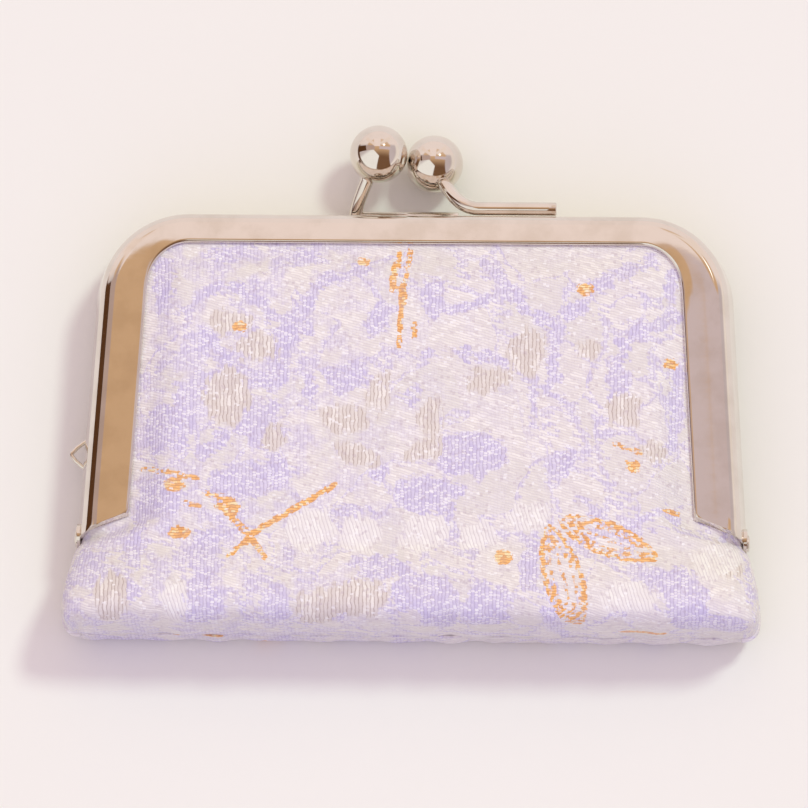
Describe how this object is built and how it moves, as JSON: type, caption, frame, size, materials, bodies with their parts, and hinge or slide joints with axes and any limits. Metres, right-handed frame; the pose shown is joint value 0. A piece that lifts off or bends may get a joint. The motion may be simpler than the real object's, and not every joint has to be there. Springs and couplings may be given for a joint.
{
  "type": "clasp purse",
  "caption": "Small kiss-lock clasp purse: a two-part metal channel frame with crossed ball clasps, hinged at its legs, holding a lined brocade bag with a boxed bottom.",
  "frame": {"origin": "centre of the bounding box's underside: the purse lies shut on its back, its back in the plane z = 0", "axes": "+X across the purse to the right as seen from its front, +Y from the bag's bottom towards the clasp, +Z out of the purse's front"},
  "size_m": [0.0818, 0.0612, 0.0148],
  "materials": {
    "nickel": "polished nickel plate on pressed steel",
    "brocade": "lavender jacquard brocade with white and gold floats",
    "lining": "plain satin lining",
    "interlining": "felted interlining",
    "paper": "kraft card and twisted paper cord"
  },
  "bodies": {
    "back_half": {"back_frame": "nickel", "back_clasp_rod": "nickel", "back_clasp_ball": "nickel", "rivet_left": "nickel", "rivet_right": "nickel", "chain_eye": "nickel", "back_cover": "brocade", "lower_cover": "brocade", "back_lining": "lining", "lower_lining": "lining", "back_interlining": "interlining", "back_paper_cord": "paper", "base_card": "paper"},
    "front_half": {"front_frame": "nickel", "front_clasp_rod": "nickel", "front_clasp_ball": "nickel", "front_cover": "brocade", "front_interlining": "interlining", "front_lining": "lining", "front_paper_cord": "paper"}
  },
  "joints": [
    {"name": "frame_hinge", "type": "hinge", "parent": "back_half", "child": "front_half", "pos_m": [0, -0.01928, 0.0055], "axis": [1, 0, 0], "range_deg": [0, 90], "deforming": ["lower_cover", "lower_lining"]}
  ]
}
